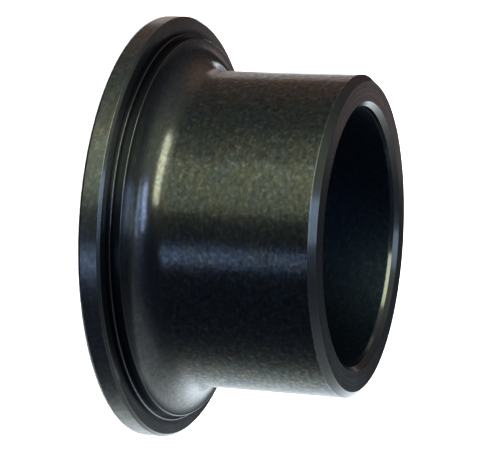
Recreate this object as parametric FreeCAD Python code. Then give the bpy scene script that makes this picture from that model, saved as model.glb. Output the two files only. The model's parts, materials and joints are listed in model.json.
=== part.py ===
import FreeCAD, Part
import math
import os

# Flanged sleeve bushing, turned from one bar.
#
# Frame: +Z runs along the bore from the flange to the nose.
# The origin is the centre of the flange's back face.
# All dimensions are in millimetres.

# Running and fitted sizes
BORE_RADIUS = 20.0
SLEEVE_RADIUS = 25.0
TOTAL_LENGTH = 33.0

# Flange
FLANGE_RADIUS = 33.4
FLANGE_THICKNESS = 3.3
RIM_BACK_CHAMFER = 0.3
RIM_FRONT_CHAMFER = 0.4

# Two low steps on the front of the flange, a wide one and a taller one on top of it
LOWER_STEP_RADIUS = 30.8
LOWER_STEP_HEIGHT = 0.6
UPPER_STEP_RADIUS = 30.0
UPPER_STEP_HEIGHT = 1.25
STEP_ROUNDING = 0.2

# Hollow curve from the upper step into the sleeve
ROOT_FILLET_RADIUS = 4.6

# Sleeve's nose and both mouths of the bore
NOSE_CHAMFER = 1.0
MOUTH_CHAMFER = 0.75
LEAD_IN_LENGTH = 0.8
LEAD_IN_DEPTH = 0.16

# Rounding where a chamfer meets its neighbours, and none in the tool's sharp inside corners
EDGE_ROUNDING = 0.12
SHARP = 0.0

# Sizes that follow from the ones above
LOWER_STEP_TOP = FLANGE_THICKNESS + LOWER_STEP_HEIGHT
UPPER_STEP_TOP = LOWER_STEP_TOP + UPPER_STEP_HEIGHT
MOUTH_RADIUS = BORE_RADIUS + LEAD_IN_DEPTH
MOUTH_EDGE_RADIUS = MOUTH_RADIUS + MOUTH_CHAMFER
BORE_START = MOUTH_CHAMFER + LEAD_IN_LENGTH  # from either face

FULL_TURN = 360.0
AXIS = FreeCAD.Vector(0, 0, 1)
ORIGIN = FreeCAD.Vector(0, 0, 0)


def flange_corners():
    """Follow the flange from its back face, round the rim and up both steps."""
    return [
        (FLANGE_RADIUS - RIM_BACK_CHAMFER, 0, EDGE_ROUNDING),
        (FLANGE_RADIUS, RIM_BACK_CHAMFER, EDGE_ROUNDING),
        (FLANGE_RADIUS, FLANGE_THICKNESS - RIM_FRONT_CHAMFER, EDGE_ROUNDING),
        (FLANGE_RADIUS - RIM_FRONT_CHAMFER, FLANGE_THICKNESS, EDGE_ROUNDING),
        (LOWER_STEP_RADIUS, FLANGE_THICKNESS, SHARP),
        (LOWER_STEP_RADIUS, LOWER_STEP_TOP, STEP_ROUNDING),
        (UPPER_STEP_RADIUS, LOWER_STEP_TOP, SHARP),
        (UPPER_STEP_RADIUS, UPPER_STEP_TOP, STEP_ROUNDING),
    ]


def sleeve_corners():
    """Turn up into the sleeve through the root curve, and run along it over the nose."""
    return [
        (SLEEVE_RADIUS, UPPER_STEP_TOP, ROOT_FILLET_RADIUS),
        (SLEEVE_RADIUS, TOTAL_LENGTH - NOSE_CHAMFER, EDGE_ROUNDING),
        (SLEEVE_RADIUS - NOSE_CHAMFER, TOTAL_LENGTH, EDGE_ROUNDING),
    ]


def bore_corners():
    """Go in at the nose's mouth, down the bore and out at the flange's mouth."""
    return [
        (MOUTH_EDGE_RADIUS, TOTAL_LENGTH, EDGE_ROUNDING),
        (MOUTH_RADIUS, TOTAL_LENGTH - MOUTH_CHAMFER, EDGE_ROUNDING),
        (BORE_RADIUS, TOTAL_LENGTH - BORE_START, SHARP),
        (BORE_RADIUS, BORE_START, SHARP),
        (MOUTH_RADIUS, MOUTH_CHAMFER, EDGE_ROUNDING),
        (MOUTH_EDGE_RADIUS, 0, EDGE_ROUNDING),
    ]


def round_corner(before, corner, after, rounding):
    """Return where the rounding starts, its middle and where it ends, all tangent to both sides."""
    back = (before - corner).normalize()
    onward = (after - corner).normalize()
    half_angle = back.getAngle(onward) / 2
    reach = rounding / math.tan(half_angle)
    inward = (back + onward).normalize()
    depth = rounding / math.sin(half_angle) - rounding
    return corner + back * reach, corner + inward * depth, corner + onward * reach


def turned_outline(corners):
    """Join (radius, height, rounding) corners into one closed wire in the XZ half plane."""
    points = [FreeCAD.Vector(radius, 0, height) for radius, height, _ in corners]
    roundings = [rounding for _, _, rounding in corners]
    before = points[-1:] + points[:-1]
    after = points[1:] + points[:1]
    bends = [round_corner(*bend) for bend in zip(before, points, after, roundings)]
    edges = []
    for bend, next_bend, rounding in zip(bends, bends[1:] + bends[:1], roundings):
        start, middle, end = bend
        if rounding != SHARP:
            edges.append(Part.Arc(start, middle, end).toShape())
        edges.append(Part.LineSegment(end, next_bend[0]).toShape())
    return Part.Wire(edges)


def flanged_bushing():
    """Turn the outline about the bore's axis into the one solid piece."""
    outline = turned_outline(flange_corners() + sleeve_corners() + bore_corners())
    return Part.Face(outline).revolve(ORIGIN, AXIS, FULL_TURN)


def main():
    os.makedirs("parts", exist_ok=True)
    parts = {"flanged_bushing": flanged_bushing()}
    for node, shape in parts.items():
        shape.exportStep("parts/" + node + ".step")
        print(node, "valid", shape.isValid(), "volume", round(shape.Volume, 1), "mm3")


main()
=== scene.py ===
import bpy
import json
import math
from mathutils import Matrix, Vector


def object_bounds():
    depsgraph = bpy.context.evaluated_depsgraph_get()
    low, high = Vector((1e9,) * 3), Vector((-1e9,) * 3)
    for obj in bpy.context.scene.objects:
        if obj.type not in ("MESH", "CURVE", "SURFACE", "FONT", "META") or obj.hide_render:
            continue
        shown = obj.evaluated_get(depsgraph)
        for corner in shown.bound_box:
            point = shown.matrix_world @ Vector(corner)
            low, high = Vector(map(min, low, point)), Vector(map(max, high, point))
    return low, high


# The flanged sleeve bushing stands on its flange, with its bore along +Z.
# Blender works in metres. The sizes named below are in millimetres, unless a comment says metres.

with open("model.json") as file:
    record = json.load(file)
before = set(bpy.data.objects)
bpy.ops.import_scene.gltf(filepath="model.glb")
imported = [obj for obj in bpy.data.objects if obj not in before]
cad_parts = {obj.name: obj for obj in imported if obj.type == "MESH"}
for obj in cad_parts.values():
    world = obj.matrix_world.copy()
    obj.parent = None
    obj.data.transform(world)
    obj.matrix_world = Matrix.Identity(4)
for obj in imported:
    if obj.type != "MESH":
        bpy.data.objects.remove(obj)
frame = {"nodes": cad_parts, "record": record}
cad_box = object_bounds()
bushing = frame["nodes"]["flanged_bushing"]

MM = 0.001

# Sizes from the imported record
MOUNTS = {mount["name"]: mount for mount in frame["record"]["mounts"]}
BORE_RADIUS = MOUNTS["bore"]["dims"]["r_mm"]
SLEEVE_RADIUS = MOUNTS["sleeve_outside"]["dims"]["r_mm"]
SLEEVE_MIDDLE = MOUNTS["sleeve_outside"]["pos_m"][2] / MM
SLEEVE_HALF_LENGTH = MOUNTS["sleeve_outside"]["dims"]["length_mm"] / 2
SLEEVE_START = SLEEVE_MIDDLE - SLEEVE_HALF_LENGTH
SLEEVE_END = SLEEVE_MIDDLE + SLEEVE_HALF_LENGTH
FLANGE_FRONT = MOUNTS["flange_front"]["pos_m"][2] / MM
FLANGE_RADIUS = cad_box[1][0] / MM
NOSE_FACE = cad_box[1][2] / MM

# Sizes that the record does not hold: the steps on the flange's front and the chamfers
LOWER_STEP_RADIUS = 30.8
LOWER_STEP_TOP = FLANGE_FRONT + 0.6
UPPER_STEP_RADIUS = 30.0
UPPER_STEP_TOP = FLANGE_FRONT + 1.85
RIM_CHAMFER = 0.4
NOSE_CHAMFER = 1.0

# Edges painted bright, partly as wear and partly as a painted highlight, as (radius, height) on the turned
# profile
WORN_AND_GLINT_EDGES = [
    (FLANGE_RADIUS, FLANGE_FRONT - RIM_CHAMFER),
    (FLANGE_RADIUS - RIM_CHAMFER, FLANGE_FRONT),
    (SLEEVE_RADIUS, NOSE_FACE - NOSE_CHAMFER),
    (SLEEVE_RADIUS - NOSE_CHAMFER, NOSE_FACE),
    (LOWER_STEP_RADIUS, LOWER_STEP_TOP),
    (UPPER_STEP_RADIUS, UPPER_STEP_TOP),
]
WEAR_AND_GLINT_REACH = 0.24

# Borders of the finish's regions: what they are measured by, where each is still 0 and where it is 1
BORDERS = {
    "bore": ("radius", BORE_RADIUS + 0.06, BORE_RADIUS + 0.01),
    "past_bore": ("radius", SLEEVE_RADIUS - 0.2, SLEEVE_RADIUS),
    "sleeve_skin": ("radius", SLEEVE_RADIUS - 0.1, SLEEVE_RADIUS - 0.05),
    "above_root": ("height", SLEEVE_START - 2.0, SLEEVE_START + 0.8),
    "below_nose": ("height", SLEEVE_END + 0.05, SLEEVE_END),
    "nose": ("height", NOSE_FACE - 0.06, NOSE_FACE - 0.02),
    "rim": ("radius", FLANGE_RADIUS - 0.08, FLANGE_RADIUS - 0.03),
    "inside_rim": ("radius", LOWER_STEP_RADIUS + 1.2, LOWER_STEP_RADIUS + 0.1),
    "above_rim": ("height", FLANGE_FRONT - 0.3, FLANGE_FRONT - 0.1),
    "below_steps_top": ("height", UPPER_STEP_TOP - 0.08, UPPER_STEP_TOP - 0.18),
    "over_steps": ("height", UPPER_STEP_TOP - 0.10, UPPER_STEP_TOP - 0.04),
    "root_foot": ("radius", UPPER_STEP_RADIUS - 1.6, UPPER_STEP_RADIUS - 0.5),
    "root_curve": ("radius", UPPER_STEP_RADIUS - 0.3, UPPER_STEP_RADIUS - 1.8),
}
# Share of the painted shade laid over the foot of the root curve
ROOT_FOOT_SHADE = 0.55

# Roughness of polished metal, and what each region and the blotches add to it
POLISHED_ROUGHNESS = 0.19
ADDED_ROUGHNESS = {"sleeve": 0.05, "rim": 0.11, "painted_shade": 0.12, "nose": 0.06, "bore": 0.36, "worn_and_glint": -0.03}
BLOTCH_ROUGHNESS = 0.10

# Colour of polished metal, then each region's share and colour, laid over it in this order
POLISHED_COLOUR = (0.55, 0.55, 0.55, 1)
REGION_COLOURS = {
    "sleeve": (1.0, (0.375, 0.385, 0.375, 1)),
    "rim": (1.0, (0.67, 0.67, 0.66, 1)),
    # Painted shade: the bore is painted dark blue-grey, as it looks in its own shadow
    "bore": (1.0, (0.10, 0.14, 0.20, 1)),
    # Painted bright on the edges: partly wear, partly a painted highlight where the edges catch the light
    "worn_and_glint": (0.6, (0.80, 0.79, 0.76, 1)),
    "nose": (0.8, (0.38, 0.38, 0.38, 1)),
    # Painted shade: the steps' corners and the root curve's foot are painted near-black
    "painted_shade": (1.0, (0.12, 0.13, 0.165, 1)),
}

# Noises: scale per millimetre, detail and roughness
GRAIN = (0.85, 3.0, 0.62)
SPECKLE = (1.45, 2.0, 0.62)
BLOTCHES = (0.25, 2.0, 0.5)
STAINS = (0.35, 3.0, 0.6)
RINGS = (1.7, 2.0, 0.7)
GRAIN_SQUEEZE = 2.1
FLECK_RANGE = (0.56, 0.78)
STAIN_RANGE = (0.36, 0.64)

# Where the metal is ground, and where it shows the grain; TRACE is left on polished metal
GROUND_SHARES = {"sleeve": 1.0, "rim": 0.55, "bore": 0.7}
GRAIN_SHARES = {"ground": 1.0, "root": 0.4}
TRACE = 0.12
GRAIN_CONTRAST = 1.35
FLECK_CONTRAST = 0.6

# Turning marks, full on the nose's face and faint on the rest of the polished metal
FAINT_RINGS = 0.25
RING_CONTRAST = 1.3

# Warm and cool stains, with the share of them that polished metal keeps
NO_TINT = (1, 1, 1, 1)
COOL_TINT = (0.95, 1.0, 1.08, 1)
WARM_TINT = (1.06, 1.0, 0.91, 1)
POLISHED_TINT = 0.3

# Relief: the grain's depth, and the turning marks' depth beside it
GRAIN_DEPTH = 0.014
RING_RELIEF = 0.85

# Highlights stretch along the bore, across the turning marks
ANISOTROPY = 0.5
QUARTER_TURN = 0.25

# Camera, in metres: a long lens a little above the floor, rolled so that the bore lies across the picture
LENS_MM = 143.2
CAMERA_DISTANCE = 0.3033
CAMERA_ELEVATION = math.radians(19.7)
CAMERA_ROLL = math.radians(93.1)
AIM = Vector((-0.0008, 0.0, 0.01292))

# Colours of the lights
YELLOW = (0.95, 1.0, 0.70)
STRAW = (0.88, 1.0, 0.68)
BLUE = (0.72, 1.0, 1.60)
PALE_BLUE = (0.73, 1.0, 1.33)
WARM_WHITE = (1.12, 1.0, 0.97)
COOL_WHITE = (0.90, 1.0, 1.08)
BROWN = (1.75, 1.0, 0.65)
TAN = (1.22, 1.0, 0.90)
OLIVE_WHITE = (0.89, 1.0, 0.88)
PALE_COOL = (0.90, 1.0, 1.28)

# Soft boxes: longitude, latitude, width, height and turn in degrees, then strength and colour
SOFT_BOXES = {
    "yellow_window": (-174, 39.5, 20, 49, 0, 1.05, YELLOW),
    "yellow_curtain": (-140, 29.5, 22, 35, 0, 0.185, STRAW),
    "blue_window": (147, 8.5, 14, 24, -25, 0.57, BLUE),
    "blue_strip": (125, 3, 12, 20, 0, 0.27, PALE_BLUE),
    "blue_low": (-128, -16.5, 34, 10, 0, 0.20, BLUE),
    "white_edge": (-2, 10, 14, 56, 0, 0.33, WARM_WHITE),
    "white_spot": (7, 15, 12, 12, 0, 1.5, COOL_WHITE),
    "white_card": (33, 8, 12, 14, 0, 0.17, TAN),
    "face_card": (32, -3, 10, 12, 0, 0.047, COOL_WHITE),
    "ground_card": (-18, -50, 24, 20, 0, 0.075, OLIVE_WHITE),
}
SOFT_BOX_DISTANCE = 0.5  # metres

# The rest of the room, as soft glows: longitude and latitude in degrees, sharpness, strength and colour
GLOWS = {
    "yellow_wall": (-172, 47, 10, 0.12, STRAW),
    "grey_wall": (130, 33, 8, 0.085, STRAW),
    "olive_shade": (-150, 9, 16, 0.019, STRAW),
    "blue_wall": (130, 0, 20, 0.05, BLUE),
    "brown_wall": (10, 45, 10, 0.046, BROWN),
    "ceiling": (90, 60, 3, 0.022, COOL_WHITE),
    "olive_corner": (-100, 75, 4, 0.028, STRAW),
    "navy_floor": (-90, -20, 0.3, 0.012, BLUE),
}

# White ground under the picture, in the same columns, and the heights between which its far edge fades
GROUND = {
    "ground": (8, -16, 5.5, 0.60, OLIVE_WHITE),
    "ground_near": (8, -16, 9, 0.55, PALE_COOL),
    "ground_right": (80, -42, 8, 0.065, COOL_WHITE),
}
GROUND_EDGE = (math.sin(math.radians(-13)), math.sin(math.radians(-7)))

# Floor and its own light, in metres and watts. The gap keeps the floor clear of the flange's back
FLOOR_HALF_WIDTH = 3.0
FLOOR_GAP = 0.00002
FLOOR_WHITE = (0.85, 0.85, 0.85, 1)
FLOOR_LIGHT_WIDTH = 1.6
FLOOR_LIGHT_HEIGHT = 1.0
FLOOR_LIGHT_POWER = 60


def link(thing):
    """Put a new object into the scene."""
    bpy.context.scene.collection.objects.link(thing)
    return thing


def add_camera():
    """Look at the bushing from the -Y side, with the picture's right along the bore. Returns its axes."""
    data = bpy.data.cameras.new("camera")
    data.lens = LENS_MM
    camera = link(bpy.data.objects.new("camera", data))
    back = Vector((0, -math.cos(CAMERA_ELEVATION), math.sin(CAMERA_ELEVATION)))
    upright = (-back).to_track_quat("-Z", "Y")
    turned = upright @ Matrix.Rotation(CAMERA_ROLL, 3, "Z").to_quaternion()
    camera.location = AIM + back * CAMERA_DISTANCE
    camera.rotation_mode = "QUATERNION"
    camera.rotation_quaternion = turned
    bpy.context.scene.camera = camera
    return turned.to_matrix()


def studio_direction(axes, longitude, latitude):
    """A direction from the bushing. Longitude 0 is straight behind it and 90 to the picture's right."""
    lon, lat = math.radians(longitude), math.radians(latitude)
    right, up, back = axes.col[0], axes.col[1], axes.col[2]
    level = right * math.sin(lon) - back * math.cos(lon)
    return level * math.cos(lat) + up * math.sin(lat)


def add_soft_box(axes, name, longitude, latitude, width, height, turn, strength, colour):
    """A flat light facing the bushing, seen only in its reflections. Its size is given as an angle."""
    data = bpy.data.lights.new(name, "AREA")
    data.shape = "RECTANGLE"
    data.size = 2 * SOFT_BOX_DISTANCE * math.tan(math.radians(width / 2))
    data.size_y = 2 * SOFT_BOX_DISTANCE * math.tan(math.radians(height / 2))
    data.energy = strength * math.pi * data.size * data.size_y
    data.color = colour
    light = link(bpy.data.objects.new(name, data))
    out = studio_direction(axes, longitude, latitude)
    up = axes.col[1]
    upward = (up - out * up.dot(out)).normalized()
    sideways = upward.cross(out)
    tilt = Matrix.Rotation(math.radians(turn), 3, "Z")
    facing = Matrix((sideways, upward, out)).transposed() @ tilt
    light.matrix_world = Matrix.Translation(AIM + out * SOFT_BOX_DISTANCE) @ facing.to_4x4()
    light.visible_camera = False
    light.visible_diffuse = False


class Nodes:
    """Short calls for building shader nodes."""

    def __init__(self, tree):
        self.tree = tree

    def feed(self, socket, value):
        """Link a socket to a node's output, or set it to a plain value."""
        if isinstance(value, bpy.types.NodeSocket):
            self.tree.links.new(value, socket)
        else:
            socket.default_value = value

    def coordinates(self, kind):
        return self.tree.nodes.new("ShaderNodeTexCoord").outputs[kind]

    def math(self, operation, first, second=0.0, third=0.0):
        node = self.tree.nodes.new("ShaderNodeMath")
        node.operation = operation
        for socket, value in zip(node.inputs, (first, second, third)):
            self.feed(socket, value)
        return node.outputs[0]

    def product(self, first, *others):
        """Multiply any number of values."""
        for other in others:
            first = self.math("MULTIPLY", first, other)
        return first

    def vector(self, operation, first, second=None):
        """Vector maths. For SCALE the second value is a number."""
        node = self.tree.nodes.new("ShaderNodeVectorMath")
        node.operation = operation
        self.feed(node.inputs[0], first)
        if second is not None:
            self.feed(node.inputs["Scale" if operation == "SCALE" else 1], second)
        return node.outputs["Value" if operation in ("DOT_PRODUCT", "LENGTH", "DISTANCE") else "Vector"]

    def ramp(self, value, low, high, out_low=0.0, out_high=1.0):
        """Ease value's range low..high into out_low..out_high."""
        node = self.tree.nodes.new("ShaderNodeMapRange")
        node.interpolation_type = "SMOOTHSTEP"
        for socket, number in zip(node.inputs, (value, low, high, out_low, out_high)):
            self.feed(socket, number)
        return node.outputs["Result"]

    def blend(self, amount, first, second):
        """Mix two colours."""
        node = self.tree.nodes.new("ShaderNodeMix")
        node.data_type = "RGBA"
        sockets = {socket.identifier: socket for socket in node.inputs}
        self.feed(sockets["Factor_Float"], amount)
        self.feed(sockets["A_Color"], first)
        self.feed(sockets["B_Color"], second)
        return [socket for socket in node.outputs if socket.identifier == "Result_Color"][0]

    def noise(self, vector, scale, detail, roughness):
        node = self.tree.nodes.new("ShaderNodeTexNoise")
        self.feed(node.inputs["Vector"], vector)
        node.inputs["Scale"].default_value = scale
        node.inputs["Detail"].default_value = detail
        node.inputs["Roughness"].default_value = roughness
        return node.outputs["Fac"]

    def combine(self, x, y, z):
        node = self.tree.nodes.new("ShaderNodeCombineXYZ")
        for socket, value in zip(node.inputs, (x, y, z)):
            self.feed(socket, value)
        return node.outputs[0]

    def separate(self, vector):
        node = self.tree.nodes.new("ShaderNodeSeparateXYZ")
        self.feed(node.inputs[0], vector)
        return node.outputs


def sum_glows(nodes, axes, direction, glows):
    """Add up soft glows, each brightest in its own direction."""
    total = (0, 0, 0)
    for longitude, latitude, sharpness, strength, colour in glows.values():
        facing = nodes.vector("DOT_PRODUCT", direction, studio_direction(axes, longitude, latitude))
        fade = nodes.math("MULTIPLY_ADD", facing, sharpness, -sharpness)
        tint = [strength * part for part in colour]
        glow = nodes.vector("SCALE", tint, nodes.math("EXPONENT", fade))
        total = nodes.vector("ADD", glow, total)
    return total


def add_world(axes):
    """Surround the bushing with the soft glows, which only reflections see."""
    world = bpy.data.worlds.new("studio")
    bpy.context.scene.world = world
    world.use_nodes = True
    nodes = Nodes(world.node_tree)
    direction = nodes.coordinates("Generated")
    height = nodes.vector("DOT_PRODUCT", direction, axes.col[1])
    below_edge = nodes.ramp(height, *GROUND_EDGE, 1.0, 0.0)
    ground = nodes.vector("SCALE", sum_glows(nodes, axes, direction, GROUND), below_edge)
    room = sum_glows(nodes, axes, direction, GLOWS)
    background = world.node_tree.nodes["Background"]
    nodes.feed(background.inputs["Color"], nodes.vector("ADD", room, ground))
    world.cycles_visibility.diffuse = False


def add_floor_light():
    """Even light from above for the floor alone."""
    data = bpy.data.lights.new("floor_light", "AREA")
    data.size = FLOOR_LIGHT_WIDTH
    data.energy = FLOOR_LIGHT_POWER
    light = link(bpy.data.objects.new("floor_light", data))
    light.location = (0, 0, FLOOR_LIGHT_HEIGHT)
    light.visible_camera = False
    light.visible_glossy = False


def floor_paint():
    """Matt white."""
    paint = bpy.data.materials.new("floor_paint")
    paint.use_nodes = True
    shader = paint.node_tree.nodes["Principled BSDF"]
    shader.inputs["Base Color"].default_value = FLOOR_WHITE
    shader.inputs["Roughness"].default_value = 1.0
    shader.inputs["Specular IOR Level"].default_value = 0.0
    return paint


def add_floor():
    """A plain white floor under the flange. Reflections leave it out, and it casts no shadow."""
    half = FLOOR_HALF_WIDTH
    mesh = bpy.data.meshes.new("floor")
    corners = [(-half, -half, 0), (half, -half, 0), (half, half, 0), (-half, half, 0)]
    mesh.from_pydata(corners, [], [(0, 1, 2, 3)])
    floor = link(bpy.data.objects.new("floor", mesh))
    floor.location.z = -FLOOR_GAP
    floor.data.materials.append(floor_paint())
    floor.visible_glossy = False
    floor.visible_shadow = False


def close_to(nodes, section, corners, reach):
    """Return 1 on the given (radius, height) corners of the profile, fading to 0 at a distance of reach."""
    nearest = reach
    for radius, height in corners:
        distance = nodes.vector("DISTANCE", section, (radius, height, 0.0))
        nearest = nodes.math("MINIMUM", nearest, distance)
    return nodes.ramp(nearest, reach, 0.0)


def strongest(nodes, regions, shares):
    """Return the largest of the named regions, each scaled by its share."""
    most = 0.0
    for name, share in shares.items():
        most = nodes.math("MAXIMUM", most, nodes.product(regions[name], share))
    return most


def find_regions(nodes, radius, height):
    """Mark each region of the finish with 1, fading to 0 outside it."""
    measures = {"radius": radius, "height": height}
    regions = {}
    for name, (measure, none, whole) in BORDERS.items():
        regions[name] = nodes.ramp(measures[measure], none, whole)
    section = nodes.combine(radius, height, 0.0)
    regions["worn_and_glint"] = close_to(nodes, section, WORN_AND_GLINT_EDGES, WEAR_AND_GLINT_REACH)
    regions["sleeve"] = nodes.product(regions["above_root"], regions["below_nose"], regions["sleeve_skin"])
    regions["root"] = nodes.product(regions["root_curve"], regions["over_steps"], regions["past_bore"])
    regions["ground"] = strongest(nodes, regions, GROUND_SHARES)

    # Painted shade lies in the steps' corners, off their bright edges, and thins out over the foot of the
    # root curve
    corners = nodes.product(regions["below_steps_top"], regions["above_rim"], regions["inside_rim"])
    off_bright_edges = nodes.math("MULTIPLY_ADD", regions["worn_and_glint"], -1.0, regions["past_bore"])
    foot = nodes.product(regions["root_foot"], regions["over_steps"])
    regions["painted_shade"] = nodes.math("MULTIPLY_ADD", foot, ROOT_FOOT_SHADE, nodes.product(corners, off_bright_edges))
    return regions


def surface_roughness(nodes, regions, place):
    """Polished metal, dulled where it is ground, turned or dirty, and by broad blotches."""
    roughness = POLISHED_ROUGHNESS
    for name, added in ADDED_ROUGHNESS.items():
        roughness = nodes.math("MULTIPLY_ADD", regions[name], added, roughness)
    blotch = nodes.math("SUBTRACT", nodes.noise(place, *BLOTCHES), 0.5)
    return nodes.math("MULTIPLY_ADD", blotch, BLOTCH_ROUGHNESS, roughness)


def region_colour(nodes, regions, place):
    """Each region's plain colour, with warm and cool stains."""
    base = POLISHED_COLOUR
    for name, (share, colour) in REGION_COLOURS.items():
        base = nodes.blend(nodes.product(regions[name], share), base, colour)
    stain = nodes.ramp(nodes.noise(place, *STAINS), *STAIN_RANGE)
    stained = nodes.blend(stain, COOL_TINT, WARM_TINT)
    kept = nodes.math("MULTIPLY_ADD", regions["ground"], 1.0 - POLISHED_TINT, POLISHED_TINT)
    return nodes.vector("MULTIPLY", base, nodes.blend(kept, NO_TINT, stained))


def turned_metal():
    """Dark metal: ground outside, polished root curve, edges painted bright as wear and painted highlight,
    a dull bore painted dark as shade, and painted shade in the step corners.
    """
    material = bpy.data.materials.new("turned_metal_finish")
    material.use_nodes = True
    shader = material.node_tree.nodes["Principled BSDF"]
    nodes = Nodes(material.node_tree)

    # Places on the bushing, in millimetres
    place = nodes.vector("SCALE", nodes.coordinates("Object"), 1 / MM)
    across_x, across_y, height = nodes.separate(place)
    radius = nodes.vector("LENGTH", nodes.combine(across_x, across_y, 0.0))
    regions = find_regions(nodes, radius, height)

    # The grain's third axis follows the profile, so it is as fine on the faces as on the sleeve
    profile = nodes.math("SUBTRACT", height, radius)
    grain_place = nodes.combine(across_x, across_y, nodes.product(profile, GRAIN_SQUEEZE))
    grain = nodes.noise(grain_place, *GRAIN)
    speckle = nodes.noise(place, *SPECKLE)
    texture = nodes.math("ADD", grain, speckle)
    grained = strongest(nodes, regions, GRAIN_SHARES)
    grained = nodes.math("MULTIPLY_ADD", grained, 1.0 - TRACE, TRACE)

    # Turning marks are rings round the bore, on metal that is not ground
    ring = nodes.math("SUBTRACT", nodes.noise(nodes.combine(profile, 0.0, 0.0), *RINGS), 0.5)
    turned = nodes.math("MULTIPLY_ADD", regions["nose"], 1.0 - FAINT_RINGS, FAINT_RINGS)
    ring = nodes.product(ring, turned, nodes.math("SUBTRACT", 1.0, regions["ground"]))

    # Light and dark grain, bright flecks and rings shade the colour. The texture's middle is 1
    fleck = nodes.product(nodes.ramp(speckle, *FLECK_RANGE), FLECK_CONTRAST)
    contrast = nodes.math("MULTIPLY_ADD", nodes.math("SUBTRACT", texture, 1.0), GRAIN_CONTRAST, fleck)
    shade = nodes.math("MULTIPLY_ADD", contrast, grained, 1.0)
    shade = nodes.product(shade, nodes.math("MULTIPLY_ADD", ring, RING_CONTRAST, 1.0))
    colour = region_colour(nodes, regions, place)
    nodes.feed(shader.inputs["Base Color"], nodes.vector("SCALE", colour, shade))
    nodes.feed(shader.inputs["Roughness"], surface_roughness(nodes, regions, place))

    bump = material.node_tree.nodes.new("ShaderNodeBump")
    bump.inputs["Distance"].default_value = GRAIN_DEPTH * MM
    relief = nodes.math("MULTIPLY_ADD", ring, RING_RELIEF, nodes.product(texture, grained))
    nodes.feed(bump.inputs["Height"], relief)
    nodes.feed(shader.inputs["Normal"], bump.outputs[0])

    shader.inputs["Metallic"].default_value = 1.0
    shader.inputs["Anisotropic"].default_value = ANISOTROPY
    shader.inputs["Anisotropic Rotation"].default_value = QUARTER_TURN
    tangent = material.node_tree.nodes.new("ShaderNodeTangent")
    tangent.direction_type = "RADIAL"
    tangent.axis = "Z"
    nodes.feed(shader.inputs["Tangent"], tangent.outputs[0])
    return material


def build_studio():
    """Camera, lights, room and floor."""
    axes = add_camera()
    for name, settings in SOFT_BOXES.items():
        add_soft_box(axes, name, *settings)
    add_world(axes)
    add_floor_light()
    add_floor()
    bpy.context.scene.view_settings.view_transform = "Standard"


build_studio()
finish = turned_metal()
for slot in bushing.material_slots:
    slot.material = finish
